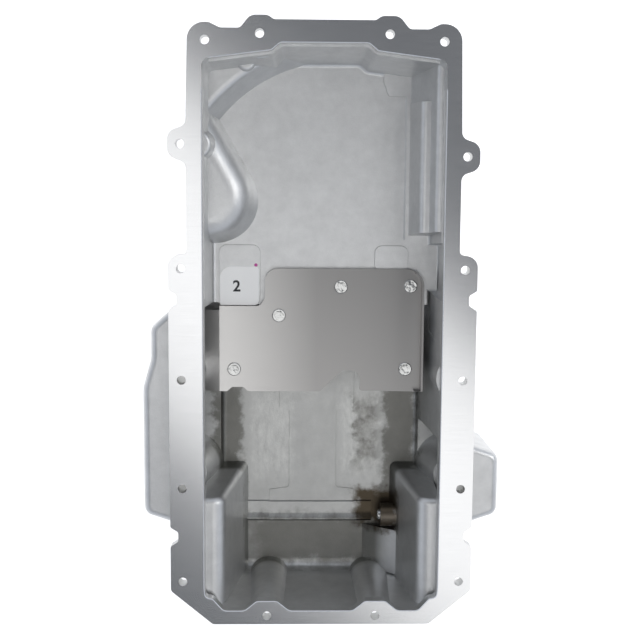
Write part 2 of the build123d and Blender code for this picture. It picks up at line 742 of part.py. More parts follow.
def drain_inner_boss():
    """The inner end of the drain boss, inside the shoulder."""
    length = DRAIN_FACE_X - WALL - DRAIN_INNER_X
    boss = Cylinder(DRAIN_INNER_R, length, align=STANDING)
    return Pos(DRAIN_INNER_X, DRAIN_Y, DRAIN_Z) * Rot(0, 90, 0) * boss


def drain_ramp():
    """The slope that joins the sump's floor to the right shoulder, behind the weir."""
    profile = [
        (DRAIN_RAMP_X, -SUMP_DEPTH - 1),
        (SHOULDER_FOOT_X + 8, -SUMP_DEPTH - 1),
        (SHOULDER_FOOT_X + 8, -SUMP_DEPTH + DRAIN_RAMP_HEIGHT),
    ]
    return along_y(profile, 0, *DRAIN_RAMP_Y)


def tray_ribs():
    """Ribs under the tray, along and across."""
    foot = -TRAY_DEPTH - FLOOR + 2
    x0, x1 = TRAY_RIB_X
    y0 = SUMP_FRONT_Y - 4
    y1 = FRONT_IN_Y - 30
    ribs = []
    for x in TRAY_RIBS_ALONG:
        ribs.append(Pos(x, (y0 + y1) / 2, foot) * Box(RIB_T, y1 - y0, TRAY_RIB + 2, align=HANGING))
    for y in TRAY_RIBS_ACROSS:
        ribs.append(Pos((x0 + x1) / 2, y, foot) * Box(x1 - x0, RIB_T, TRAY_RIB + 2, align=HANGING))
    return ribs


def sump_ribs():
    """Ribs under the sump, on which the pan stands."""
    y0 = REAR_IN_Y + 28
    y1 = SUMP_FRONT_Y - 30
    ribs = []
    for x in SUMP_RIBS_ALONG:
        ribs.append(Pos(x, (y0 + y1) / 2, -SUMP_DEPTH - FLOOR + 2) * Box(
            RIB_T, y1 - y0, SUMP_RIB + 2, align=HANGING))
    return ribs


def gussets():
    """Triangular ribs between the underside of the rails and the walls."""
    profile = [(RAIL_IN - 6, -FLANGE_T + 1), (RAIL_OUT - 6, -FLANGE_T + 1), (RAIL_IN - 6, -GUSSET_DROP)]
    rib = along_y(profile, 0, -RIB_T / 2, RIB_T / 2)
    ribs = [Pos(0, row * BOLT_PITCH, 0) * rib for row in RIGHT_GUSSETS]
    return ribs + [mirror(Pos(0, row * BOLT_PITCH, 0) * rib, about=Plane.YZ) for row in LEFT_GUSSETS]


def pan_casting():
    """The whole casting: walls, flange, ribs and bosses, with every hole."""
    form = outer_form() + extrude(flange_outline(), amount=FLANGE_T, dir=(0, 0, -1))
    for x, y in flange_bolts():
        if (x, y) not in WELLS:
            form = form + cylinder_down(x, y, -FLANGE_T + 1, BOSS_DROP + 1, BOSS_D / 2)
    for rib in tray_ribs() + sump_ribs() + gussets() + blind_bosses() + [drain_boss()]:
        form = form + rib
    form = form - inner_space()
    for extra in floor_pads() + plate_bosses() + [floor_panel()] + weir():
        form = form + extra
    for x, y in flange_bolts():
        form = form - cylinder_down(x, y, 1, FLANGE_T + BOSS_DROP + 2, HOLE_D / 2)
    for x, y in WELLS:
        form = form - cylinder_down(x, y, -FLANGE_T, SUMP_DEPTH + OVER, WELL_D / 2)
    for x, y in PLATE_BOLTS:
        form = form - cylinder_down(x, y, PLATE_Z + 1, SCREW_LEN + SCREW_TIP + 1, SCREW_D / 2 + SCREW_GAP)
    bore = Pos(DRAIN_FACE_X + 1, DRAIN_Y, DRAIN_Z) * Rot(0, 90, 0) * Cylinder(
        DRAIN_D / 2 + DRAIN_GAP, 40, align=HANGING)
    return form - bore


def windage_plate():
    """Folded sheet over the front half of the sump, with a lip on the right and a wing on the left."""
    left = PLATE_LEFT_X
    plan = [
        (left, PLATE_REAR_Y),
        (left + 8, PLATE_REAR_Y),
        (left + 13, PLATE_REAR_Y + 4.6),
        (left + 25, PLATE_REAR_Y + 4.6),
        (left + 30, PLATE_REAR_Y),
        (-1, PLATE_REAR_Y),
        (23, PLATE_REAR_Y + 23),
        (36.5, PLATE_REAR_Y + 22),
        (42, PLATE_REAR_Y + 14),
        (41, PLATE_REAR_Y + 1),
        (PLATE_RIGHT_X, PLATE_REAR_Y),
        (PLATE_RIGHT_X, PLATE_FRONT_Y),
        (PLATE_NOTCH_X, PLATE_FRONT_Y),
        (PLATE_NOTCH_X, PLATE_NOTCH_Y + 8),
        (PLATE_NOTCH_X - 6, PLATE_NOTCH_Y),
        (left, PLATE_NOTCH_Y),
    ]
    radii = [0, 2, 4, 4, 2, 4, 4, 3, 4, 2, 0, PLATE_CORNER_R, 14, 8, 6, 0]
    sheet = raised(rounded(plan, radii), PLATE_Z, PLATE_T)
    ring = grown(rounded(plan, radii), 0) - grown(rounded(plan, radii), -PLATE_T)
    lip = raised(ring, PLATE_Z, LIP_HEIGHT)
    lip = lip & Pos(PLATE_RIGHT_X - LIP_REACH, PLATE_REAR_Y + PLATE_T, PLATE_Z) * Box(
        OVER, OVER * 4, OVER, align=(Align.MIN, Align.MIN, Align.MIN))
    wing_profile = [
        (left + 1, PLATE_Z),
        (left + 1, PLATE_Z + PLATE_T),
        (left, PLATE_Z + PLATE_T),
        (left - WING_WIDTH, PLATE_Z + PLATE_T - WING_DROP),
        (left - WING_WIDTH, PLATE_Z - WING_DROP),
        (left, PLATE_Z),
    ]
    wing = along_y(wing_profile, [0, 0, BEND_R, 0, 0, BEND_R], PLATE_REAR_Y, WING_FRONT_Y)
    wing = wing - Pos(*WELLS[0], PLATE_Z) * Cylinder(WELL_D / 2 + WELL_WALL + WING_GAP, 2 * WING_WIDTH)
    plate = sheet + lip + wing
    for x, y in PLATE_BOLTS:
        plate = plate - cylinder_down(x, y, PLATE_Z + PLATE_T + 1, PLATE_T + 2, PLATE_HOLE_D / 2)
    return plate


def plate_bolt(x, y):
    """A small flange bolt with a hexagon head and a round face, seated on the plate."""
    seat = PLATE_Z + PLATE_T
    head = Pos(0, 0, seat) * extrude(RegularPolygon(SCREW_HEX / 2, 6, major_radius=False), amount=SCREW_HEAD)
    face = Pos(0, 0, seat + 1) * Cylinder(SCREW_FACE_R, SCREW_HEAD + SCREW_FACE - 1, align=STANDING)
    collar = Pos(0, 0, seat) * Cylinder(SCREW_FLANGE_D / 2, SCREW_FLANGE_T, align=STANDING)
    collar = chamfer(collar.edges().group_by(Axis.Z)[-1], length=SCREW_FLANGE_T * 0.5)
    shank = cylinder_down(0, 0, seat + 0.5, SCREW_LEN + PLATE_T - 0.5, SCREW_D / 2)
    return Pos(x, y, 0) * (head + face + collar + shank)


def drain_plug():
    """The drain plug, with a collar and a hexagon head, lying along X."""
    face = WASHER_T
    collar = Pos(0, 0, face) * Cylinder(DRAIN_COLLAR_D / 2, DRAIN_COLLAR_T, align=STANDING)
    head = Pos(0, 0, face) * extrude(
        RegularPolygon(DRAIN_HEX / 2, 6, major_radius=False), amount=DRAIN_COLLAR_T + DRAIN_HEAD)
    shank = Pos(0, 0, face + 1) * Cylinder(DRAIN_D / 2, DRAIN_SHANK + 1, align=HANGING)
    shank = chamfer(shank.edges().group_by(Axis.Z)[0], length=1.2)
    return Pos(DRAIN_FACE_X, DRAIN_Y, DRAIN_Z) * Rot(0, 90, 0) * (collar + head + shank)


def drain_washer():
    """The flat sealing washer under the drain plug's collar."""
    ring = Cylinder(WASHER_D / 2, WASHER_T, align=STANDING)
    ring = ring - Cylinder(DRAIN_D / 2 + DRAIN_GAP, 3 * WASHER_T)
    return Pos(DRAIN_FACE_X, DRAIN_Y, DRAIN_Z) * Rot(0, 90, 0) * ring


def number_label():
    """A thin sticker on the left pad, rounded at its front corners."""
    plan = [
        (LABEL_X[0], LABEL_Y[0]),
        (LABEL_X[1], LABEL_Y[0]),
        (LABEL_X[1], LABEL_Y[1]),
        (LABEL_X[0], LABEL_Y[1]),
    ]
    return raised(rounded(plan, [1, 5, 4, LABEL_R]), -TRAY_DEPTH + PAD_HEIGHT, LABEL_T)


nodes = {
    "pan_casting": pan_casting(),
    "windage_plate": windage_plate(),
    "drain_plug": drain_plug(),
    "drain_washer": drain_washer(),
    "number_label": number_label(),
}
for number, place in enumerate(PLATE_BOLTS, start=1):
    nodes[f"plate_bolt_{number}"] = plate_bolt(*place)

os.makedirs("parts", exist_ok=True)
for name, node in nodes.items():
    export_step(node, f"parts/{name}.step")
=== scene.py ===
import math

import bmesh
import bpy
from bpy.props import FloatProperty, FloatVectorProperty, PointerProperty, StringProperty
from mathutils import Matrix, Vector


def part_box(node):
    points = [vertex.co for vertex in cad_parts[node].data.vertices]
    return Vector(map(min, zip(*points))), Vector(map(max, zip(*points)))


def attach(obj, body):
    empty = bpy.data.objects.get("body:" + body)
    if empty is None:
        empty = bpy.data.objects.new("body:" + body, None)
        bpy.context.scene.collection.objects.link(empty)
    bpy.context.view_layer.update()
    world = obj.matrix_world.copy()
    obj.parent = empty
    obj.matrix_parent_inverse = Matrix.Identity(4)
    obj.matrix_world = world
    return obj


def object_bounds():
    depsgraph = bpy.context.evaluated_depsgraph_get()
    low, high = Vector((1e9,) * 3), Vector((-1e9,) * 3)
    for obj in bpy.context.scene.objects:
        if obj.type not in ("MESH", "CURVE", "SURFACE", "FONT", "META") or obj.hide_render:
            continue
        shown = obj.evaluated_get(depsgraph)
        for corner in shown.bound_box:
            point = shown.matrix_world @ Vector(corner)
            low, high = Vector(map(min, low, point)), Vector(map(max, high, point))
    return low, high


bl_info = {
    "name": "Engine oil pan",
    "version": (1, 0, 0),
    "blender": (4, 5, 0),
    "location": "View3D > Sidebar > Oil pan",
    "description": "Gives a cast oil pan its finishes, label figure, light and camera",
    "category": "Object",
}

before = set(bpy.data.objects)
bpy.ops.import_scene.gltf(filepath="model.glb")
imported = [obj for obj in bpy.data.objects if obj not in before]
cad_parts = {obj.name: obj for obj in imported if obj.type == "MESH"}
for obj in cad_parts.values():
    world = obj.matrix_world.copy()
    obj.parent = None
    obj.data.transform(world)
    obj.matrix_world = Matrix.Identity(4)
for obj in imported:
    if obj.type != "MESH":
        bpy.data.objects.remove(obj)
SOLIDS = [list(corner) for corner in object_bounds()]

MM = 0.001
BOLTS = [f"plate_bolt_{number}" for number in range(1, 6)]

# the milled gasket face lies no further than this below Z 0, and its normal's Z is more than this
MILLED_DEPTH = 1 * MM
MILLED_FACING = 0.6

# roughness, metallic and strength of relief of the cast skin and of the milled face
CAST_ROUGH = (0.34, 0.46)
CAST_METAL = 0.9
CAST_RELIEF = 0.5
MILLED_ROUGH = (0.18, 0.26)
MILLED_METAL = 1.0
MILLED_RELIEF = 0.02
RELIEF_DEPTH = 0.3 * MM
CLOUD_WIDTH = 16 * MM
SPECKLE_WIDTH = 6 * MM

# the clouds push a patch's edges about by up to this much in X and Y, so on the pan each patch lies
# about half of it less in X and in Y than the centre in the table
RAGGED = 34 * MM

# a patch is whole within the first share of its half sizes, and gone beyond the second
PATCH_WHOLE = 0.6
PATCH_GONE = 1.2

# painted shade over the whole low sump, oil film there that is partly painted shade, and scraped, burnt and
# stained places:
# how the tint is laid on, the tint, the centre and half sizes in millimetres, and the pattern that breaks it
# up
PATCHES = (
    # painted shade: darkens the whole low sump, where its walls shade the floor
    ("MULTIPLY", "sump_painted_shade", (17, -78, -124), (140, 150, 20), "whole"),
    # partly old oil film and partly painted shade, at the side walls' feet and on the rear floor
    ("MULTIPLY", "oil_film_and_shade", (-85, -93, -118), (17, 100, 18), "whole"),
    ("MULTIPLY", "oil_film_and_shade", (106, -63, -118), (20, 80, 18), "whole"),
    ("MULTIPLY", "oil_film_and_shade", (17, -187, -124), (96, 31, 14), "whole"),
    ("MIX", "scar_light", (-37, -69, -125), (24, 54, 5), "speckled"),
    ("MIX", "scar_light", (61, -63, -125), (22, 54, 5), "speckled"),
    ("MULTIPLY", "scar_dark", (70, -62, -125), (15, 42, 5), "clouded"),
    ("MULTIPLY", "stain_tint", (82, -150, -112), (26, 24, 24), "whole"),
)

# painted shade: the plate's tint darkens between these two places along X, standing in for a dimmer
# reflection toward its right
PLATE_PAINTED_SHADE = (-115 * MM, -5 * MM)
PLATE_ROUGH = (0.3, 0.4)
LINE_DEPTH = 0.005 * MM

ZINC_CLOUD = 5 * MM
ZINC_RELIEF = 0.6 * MM
ZINC_ROUGH = 0.15
ZINC_ROUGH_SPREAD = 0.15

FINE_WIDTH = 2 * MM
FINE_RELIEF = 0.1 * MM
FINE_STRENGTH = 0.08

# the figure's middle from the label's low corner, and the paint dot's from its high corner
FIGURE_PLACE = (17.4 * MM, 19.6 * MM)
DOT_PLACE = (-3.2 * MM, 1.6 * MM)
DOT_RADIUS = 1.8 * MM
DOT_FLATNESS = 0.16

# height of the ink's middle over the film, and half the ink's thickness
INK_HEIGHT = 0.05 * MM
INK_HALF = 0.02 * MM

# a figure's height as a share of the font's size, and how much bolder it is as a share of its height
FIGURE_SHARE = 0.7
BOLD_SHARE = 0.03

# each light's place and size in metres, and its turn about X, Y and Z in degrees
BAND_LIGHT = ((0.05, -0.375, 2.0), (2.4, 0.75), (0, 0, -42))
SIDE_LIGHT = ((1.5, 0.7, 1.8), (1.0, 1.0), (0, 42, 25))

# the tent opens where a direction's Z is between these two, and is this strong below and above that
TENT_OPENS = (0.6, 0.84)
TENT_STRENGTH = (0.8, 0.18)

# in metres: the floor's size, the middle of its glow in X and Y, and where the glow fades out
FLOOR_SIZE = 6.0
FLOOR_HEIGHT = SOLIDS[0][2]
GLOW_MIDDLE = (0.0, 0.05)
GLOW_FADES = (0.56, 1.8)
GLOW_STRENGTH = (0.62, 0.0)

# the photograph's viewpoint, and the camera's turn about X, Y and Z in degrees
CAMERA_PLACE = (-28.85 * MM, 202.13 * MM, 1131.95 * MM)
CAMERA_TURN = (-7.092, -1.263, 0.388)
CAMERA_NEAREST = 0.05


def linear(hex_colour):
    """Linear red, green, blue and alpha from an sRGB hex value."""
    parts = [int(hex_colour[i:i + 2], 16) / 255 for i in (0, 2, 4)]
    return [((c + 0.055) / 1.055) ** 2.4 if c > 0.04045 else c / 12.92 for c in parts] + [1.0]


def colour(text, words):
    """A colour that a user can change, with its default as an sRGB hex value."""
    return FloatVectorProperty(
        name=words, description=words, subtype="COLOR", size=4, min=0, max=1, default=linear(text))


class CastingLook(bpy.types.PropertyGroup):
    cast_tint: colour("DEDEDD", "Cast skin")
    cast_dark: colour("CCCCCB", "Darker patches of the cast skin")
    scar_light: colour("DCDCD8", "Scraped metal on the sump's floor")
    scar_dark: colour("84807A", "Burnt sand left on the sump's floor")
    # this tint is painted shade, darkening the whole low sump where its walls shade the floor
    sump_painted_shade: colour("E0E0DE", "Duller skin low in the sump")
    # this tint is partly old oil film and partly painted shade, at the side walls' feet and on the sump's
    # rear floor
    oil_film_and_shade: colour("ACABA7", "Old oil film low in the sump")
    stain_tint: colour("766A5A", "Dried oil round the drain")
    machined_tint: colour("DCDCDC", "Milled gasket face")
    grain: FloatProperty(
        name="Casting grain", description="Width of the cast skin's grain", subtype="DISTANCE",
        default=1.5 * MM, min=0.2 * MM, max=10 * MM)
    feed: FloatProperty(
        name="Cutter feed", description="Distance between the milling cutter's marks", subtype="DISTANCE",
        default=0.9 * MM, min=0.1 * MM, max=10 * MM)


class PlateLook(bpy.types.PropertyGroup):
    tint: colour("D8D6D3", "Rolled steel")
    # painted shade: this tint darkens the plate toward its right, standing in for a dimmer reflection there
    painted_shade_tint: colour("A3A19F", "Darker end of the rolled steel")
    lean: FloatProperty(
        name="Lean", description="Slope that the shading gives the flat sheet",
        default=0.04, min=0.0, max=0.2)
    lines: FloatProperty(
        name="Rolling lines", description="Distance between the rolling lines", subtype="DISTANCE",
        default=0.8 * MM, min=0.1 * MM, max=10 * MM)


class FastenerLook(bpy.types.PropertyGroup):
    tint: colour("C4C4C2", "Bright zinc")
    rubber: colour("1B1B1C", "Sealing washer")


class LabelLook(bpy.types.PropertyGroup):
    film: colour("FCFBF8", "Label film")
    ink: colour("222325", "Ink")
    dot: colour("C2499B", "Paint dot")
    figure: StringProperty(name="Figure", description="Figure printed on the label", default="2")
    figure_height: FloatProperty(
        name="Figure height", description="Height of the printed figure", subtype="DISTANCE",
        default=11.5 * MM, min=2 * MM, max=30 * MM)


class StageLook(bpy.types.PropertyGroup):
    floor: colour("FFFFFF", "Floor")
    tent: colour("EAF0FB", "Light tent")
    band_power: FloatProperty(
        name="Light band", description="Power of the long light overhead", subtype="POWER",
        default=7.5, min=0.0, max=200.0)
    side_power: FloatProperty(
        name="Side light", description="Power of the soft light at the side", subtype="POWER",
        default=12.0, min=0.0, max=200.0)
    lens: FloatProperty(
        name="Lens", description="Focal length of the camera in millimetres", default=64.36, min=10, max=300)


def new_material(name):
    """An empty node material with its shader and output."""
    material = bpy.data.materials.new(name)
    material.use_nodes = True
    tree = material.node_tree
    tree.nodes.clear()
    output = tree.nodes.new("ShaderNodeOutputMaterial")
    shader = tree.nodes.new("ShaderNodeBsdfPrincipled")
    tree.links.new(shader.outputs["BSDF"], output.inputs["Surface"])
    return material, tree, shader


def add(tree, kind, settings=None, **links):
    """Adds a node; settings name its sockets or properties, and links its sockets, by name or number.

    On a Mix node the sockets 2 and 3 are its two numbers, and 6 and 7 its two colours.
    """
    node = tree.nodes.new(kind)
    for name, value in (settings or {}).items():
        if isinstance(name, int) or name in node.inputs:
            node.inputs[name].default_value = value
        else:
            setattr(node, name, value)
    for name, source in links.items():
        key = int(name[1:]) if name[1:].isdigit() else name.replace("_", " ")
        tree.links.new(source, node.inputs[key])
    return node


def finish_of(node, material):
    """Gives a solid of the frame its finish."""
    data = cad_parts[node].data
    data.materials.clear()
    data.materials.append(material)


def patch(tree, place, centre, half):
    """A mask for a box, from its centre and half sizes in millimetres: 1 inside it, 0 well outside."""
    local = add(
        tree, "ShaderNodeMapping",
        {"vector_type": "TEXTURE", "Location": Vector(centre) * MM, "Scale": Vector(half) * MM}, Vector=place)
    away = add(tree, "ShaderNodeVectorMath", {"operation": "ABSOLUTE"}, _0=local.outputs[0])
    axes = add(tree, "ShaderNodeSeparateXYZ", Vector=away.outputs[0])
    across = add(tree, "ShaderNodeMath", {"operation": "MAXIMUM"}, _0=axes.outputs["X"], _1=axes.outputs["Y"])
    far = add(tree, "ShaderNodeMath", {"operation": "MAXIMUM"}, _0=across.outputs[0], _1=axes.outputs["Z"])
    fade = add(
        tree, "ShaderNodeMapRange",
        {"interpolation_type": "SMOOTHSTEP", "From Min": PATCH_GONE, "From Max": PATCH_WHOLE},
        Value=far.outputs[0])
    return fade.outputs[0]


def cast_aluminium(look):
    """Shot-blasted aluminium casting, grainy and softly shiny, with a milled and smoother gasket face."""
    material, tree, shader = new_material("cast aluminium, milled on its gasket face")
    place = add(tree, "ShaderNodeTexCoord").outputs["Object"]
    height = add(tree, "ShaderNodeSeparateXYZ", Vector=place).outputs["Z"]
    facing = add(
        tree, "ShaderNodeSeparateXYZ",
        Vector=add(tree, "ShaderNodeNewGeometry").outputs["Normal"]).outputs["Z"]
    high = add(tree, "ShaderNodeMath", {"operation": "GREATER_THAN", 1: -MILLED_DEPTH}, _0=height)
    flat = add(tree, "ShaderNodeMath", {"operation": "GREATER_THAN", 1: MILLED_FACING}, _0=facing)
    milled = add(
        tree, "ShaderNodeMath", {"operation": "MULTIPLY"}, _0=high.outputs[0], _1=flat.outputs[0]).outputs[0]

    # blasting leaves a grain, coarser here than the real one so that it shows, and the metal's flow
    # leaves clouds a centimetre or two wide
    grain = add(
        tree, "ShaderNodeTexNoise", {"Scale": 1 / look.grain, "Detail": 3.0, "Roughness": 0.7}, Vector=place)
    cloud = add(
        tree, "ShaderNodeTexNoise", {"Scale": 1 / CLOUD_WIDTH, "Detail": 5.0, "Roughness": 0.65},
        Vector=place)
    clouded = add(
        tree, "ShaderNodeMapRange", {"From Min": 0.25, "From Max": 0.8}, Value=cloud.outputs[0]).outputs[0]
    skin = add(
        tree, "ShaderNodeMix", {"data_type": "RGBA", 6: look.cast_tint, 7: look.cast_dark}, Factor=clouded)

    # the patches low in the sump, real stains and scars and painted shade, with ragged edges and some of them
    # broken up
    ragged = add(
        tree, "ShaderNodeVectorMath", {"operation": "MULTIPLY_ADD", 1: (RAGGED, RAGGED, 0.0)},
        _0=cloud.outputs["Color"], _2=place).outputs[0]
    streaked = add(tree, "ShaderNodeMapping", {"Scale": (1.0, 0.4, 1.0)}, Vector=place)
    speckle = add(
        tree, "ShaderNodeTexNoise", {"Scale": 1 / SPECKLE_WIDTH, "Detail": 6.0, "Roughness": 0.7},
        Vector=streaked.outputs[0])
    speckled = add(
        tree, "ShaderNodeMapRange", {"From Min": 0.35, "From Max": 0.75}, Value=speckle.outputs[0]).outputs[0]
    patterns = {"whole": None, "speckled": speckled, "clouded": clouded}
    colours = skin.outputs[2]
    for blend, tint, centre, half, pattern in PATCHES:
        mask = patch(tree, ragged, centre, half)
        if patterns[pattern]:
            mask = add(
                tree, "ShaderNodeMath", {"operation": "MULTIPLY"}, _0=mask, _1=patterns[pattern]).outputs[0]
        colours = add(
            tree, "ShaderNodeMix", {"data_type": "RGBA", "blend_type": blend, 7: getattr(look, tint)},
            Factor=mask, _6=colours).outputs[2]

    # a face mill leaves fine marks along the gasket face, spaced widely enough here to show
    along = add(tree, "ShaderNodeMapping", {"Scale": (0.03, 1.0, 1.0)}, Vector=place)
    marks = add(tree, "ShaderNodeTexNoise", {"Scale": 1 / look.feed, "Detail": 2.0}, Vector=along.outputs[0])
    milled_rough = add(
        tree, "ShaderNodeMapRange", {"To Min": MILLED_ROUGH[0], "To Max": MILLED_ROUGH[1]},
        Value=marks.outputs[0]).outputs[0]
    cast_rough = add(
        tree, "ShaderNodeMapRange", {"To Min": CAST_ROUGH[0], "To Max": CAST_ROUGH[1]},
        Value=speckle.outputs[0]).outputs[0]
    tint = add(
        tree, "ShaderNodeMix", {"data_type": "RGBA", 7: look.machined_tint}, Factor=milled, _6=colours)
    rough = add(tree, "ShaderNodeMix", Factor=milled, _2=cast_rough, _3=milled_rough)
    metal = add(tree, "ShaderNodeMix", {2: CAST_METAL, 3: MILLED_METAL}, Factor=milled)
    relief = add(tree, "ShaderNodeMix", Factor=milled, _2=grain.outputs[0], _3=marks.outputs[0])
    strength = add(tree, "ShaderNodeMix", {2: CAST_RELIEF, 3: MILLED_RELIEF}, Factor=milled)
    bump = add(
        tree, "ShaderNodeBump", {"Distance": RELIEF_DEPTH}, Strength=strength.outputs[0],
        Height=relief.outputs[0])
    tree.links.new(tint.outputs[2], shader.inputs["Base Color"])
    tree.links.new(rough.outputs[0], shader.inputs["Roughness"])
    tree.links.new(metal.outputs[0], shader.inputs["Metallic"])
    tree.links.new(bump.outputs[0], shader.inputs["Normal"])
    return material


def rolled_steel(look):
    """Cold-rolled steel sheet, satin, with faint lines along X, its rolling direction, and painted shade that
    darkens it toward its right.
    """
    material, tree, shader = new_material("rolled steel sheet")
    place = add(tree, "ShaderNodeTexCoord").outputs["Object"]
    along = add(tree, "ShaderNodeMapping", {"Scale": (0.02, 1.0, 1.0)}, Vector=place)
    lines = add(tree, "ShaderNodeTexNoise", {"Scale": 1 / look.lines, "Detail": 2.0}, Vector=along.outputs[0])
    spread = add(tree, "ShaderNodeSeparateXYZ", Vector=place)
    # painted shade: the tint darkens toward the plate's right, standing in for a dimmer reflection there
    darker = add(
        tree, "ShaderNodeMapRange", {"From Min": PLATE_PAINTED_SHADE[0], "From Max": PLATE_PAINTED_SHADE[1]},
        Value=spread.outputs["X"])
    tint = add(
        tree, "ShaderNodeMix", {"data_type": "RGBA", 6: look.tint, 7: look.painted_shade_tint},
        Factor=darker.outputs[0])
    rough = add(
        tree, "ShaderNodeMapRange", {"To Min": PLATE_ROUGH[0], "To Max": PLATE_ROUGH[1]},
        Value=lines.outputs[0])

    # the shading slopes a little though the mesh is flat, so the sheet mirrors a place beside the light
    lean = add(
        tree, "ShaderNodeVectorMath", {"operation": "DOT_PRODUCT", 1: (-look.lean, -look.lean, 0.0)},
        _0=place)
    relief = add(
        tree, "ShaderNodeMath", {"operation": "MULTIPLY_ADD", 1: LINE_DEPTH}, _0=lines.outputs[0],
        _2=lean.outputs["Value"])
    bump = add(tree, "ShaderNodeBump", {"Strength": 1.0, "Distance": 1.0}, Height=relief.outputs[0])
    shader.inputs["Metallic"].default_value = 1.0
    tree.links.new(tint.outputs[2], shader.inputs["Base Color"])
    tree.links.new(rough.outputs[0], shader.inputs["Roughness"])
    tree.links.new(bump.outputs[0], shader.inputs["Normal"])
    return material


def bright_zinc(look):
    """Zinc-plated steel, bright and a little uneven."""
    material, tree, shader = new_material("bright zinc plate")
    place = add(tree, "ShaderNodeTexCoord").outputs["Object"]
    cloud = add(tree, "ShaderNodeTexNoise", {"Scale": 1 / ZINC_CLOUD, "Detail": 1.0}, Vector=place)
    rough = add(
        tree, "ShaderNodeMath", {"operation": "MULTIPLY_ADD", 1: ZINC_ROUGH_SPREAD, 2: ZINC_ROUGH},
        _0=cloud.outputs[0])
    bump = add(tree, "ShaderNodeBump", {"Strength": 1.0, "Distance": ZINC_RELIEF}, Height=cloud.outputs[0])
    shader.inputs["Base Color"].default_value = look.tint
    shader.inputs["Metallic"].default_value = 1.0
    tree.links.new(rough.outputs[0], shader.inputs["Roughness"])
    tree.links.new(bump.outputs[0], shader.inputs["Normal"])
    return material


def plain(name, tint, roughness):
    """A matt finish with a fine uneven surface, as of rubber, film or paint."""
    material, tree, shader = new_material(name)
    place = add(tree, "ShaderNodeTexCoord").outputs["Object"]
    cloud = add(tree, "ShaderNodeTexNoise", {"Scale": 1 / FINE_WIDTH, "Detail": 2.0}, Vector=place)
    bump = add(
        tree, "ShaderNodeBump", {"Strength": FINE_STRENGTH, "Distance": FINE_RELIEF}, Height=cloud.outputs[0])
    shader.inputs["Base Color"].default_value = tint
    shader.inputs["Roughness"].default_value = roughness
    tree.links.new(bump.outputs[0], shader.inputs["Normal"])
    return material


def new_object(name, data):
    """A new object in the scene, made of a mesh, text, light or camera."""
    made = bpy.data.objects.new(name, data)
    bpy.context.scene.collection.objects.link(made)
    return made


def mesh_object(name, shape):
    """A new object in the scene whose mesh is a finished bmesh, which is then freed."""
    mesh = bpy.data.meshes.new(name)
    shape.to_mesh(mesh)
    shape.free()
    return new_object(name, mesh)


def printed_figure(look, centre):
    """The figure as a thin flat mesh, upright for a reader at the sump's end."""
    curve = bpy.data.curves.new("label_figure", "FONT")
    curve.body = look.figure
    curve.align_x = "CENTER"
    curve.align_y = "CENTER"
    curve.size = look.figure_height / FIGURE_SHARE
    curve.offset = BOLD_SHARE * look.figure_height
    curve.extrude = INK_HALF
    text = new_object("label_figure", curve)
    bpy.context.view_layer.update()
    mesh = bpy.data.meshes.new_from_object(text.evaluated_get(bpy.context.evaluated_depsgraph_get()))
    bpy.data.objects.remove(text)
    bpy.data.curves.remove(curve)
    mesh.transform(Matrix.Translation(centre))
    return new_object("label_figure", mesh)


def paint_dot(centre):
    """A small flat drop of marking paint, its lower half under the surface that it lies on."""
    shape = bmesh.new()
    bmesh.ops.create_uvsphere(shape, u_segments=24, v_segments=12, radius=DOT_RADIUS)
    bmesh.ops.scale(shape, vec=(1.0, 1.0, DOT_FLATNESS), verts=shape.verts)
    bmesh.ops.translate(shape, vec=centre, verts=shape.verts)
    return mesh_object("paint_dot", shape)


def lay_floor(look):
    """A white board that the pan stands on, which glows round the pan and fades out further away."""
    shape = bmesh.new()
    bmesh.ops.create_grid(shape, x_segments=1, y_segments=1, size=FLOOR_SIZE)
    bmesh.ops.translate(shape, vec=(0.0, 0.0, FLOOR_HEIGHT), verts=shape.verts)
    floor = mesh_object("floor", shape)
    board = plain("glowing board", look.floor, roughness=0.9)
    tree = board.node_tree
    shader = tree.nodes["Principled BSDF"]
    shader.inputs["Emission Color"].default_value = look.floor
    place = add(tree, "ShaderNodeTexCoord").outputs["Object"]
    away = add(
        tree, "ShaderNodeVectorMath", {"operation": "DISTANCE", 1: (*GLOW_MIDDLE, FLOOR_HEIGHT)}, _0=place)
    glow = add(
        tree, "ShaderNodeMapRange",
        {"interpolation_type": "SMOOTHSTEP", "From Min": GLOW_FADES[0], "From Max": GLOW_FADES[1],
         "To Min": GLOW_STRENGTH[0], "To Max": GLOW_STRENGTH[1]},
        Value=away.outputs["Value"])
    tree.links.new(glow.outputs[0], shader.inputs["Emission Strength"])
    floor.data.materials.append(board)


def light_tent(look):
    """A faintly blue tent of light all round, darker overhead where its top is open."""
    world = bpy.data.worlds.new("light_tent")
    world.use_nodes = True
    tree = world.node_tree
    background = tree.nodes["Background"]
    background.inputs["Color"].default_value = look.tent
    upward = add(tree, "ShaderNodeSeparateXYZ", Vector=add(tree, "ShaderNodeTexCoord").outputs["Generated"])
    strength = add(
        tree, "ShaderNodeMapRange",
        {"interpolation_type": "SMOOTHSTEP", "From Min": TENT_OPENS[0], "From Max": TENT_OPENS[1],
         "To Min": TENT_STRENGTH[0], "To Max": TENT_STRENGTH[1]},
        Value=upward.outputs["Z"])
    tree.links.new(strength.outputs[0], background.inputs["Strength"])
    return world


def soft_box(name, place, size, turn, power):
    """An area light that faces down, and is then turned by angles in degrees about X, Y and Z."""
    light = bpy.data.lights.new(name, "AREA")
    light.shape = "RECTANGLE"
    light.size, light.size_y = size
    light.energy = power
    lamp = new_object(name, light)
    lamp.location = place
    lamp.rotation_euler = [math.radians(angle) for angle in turn]


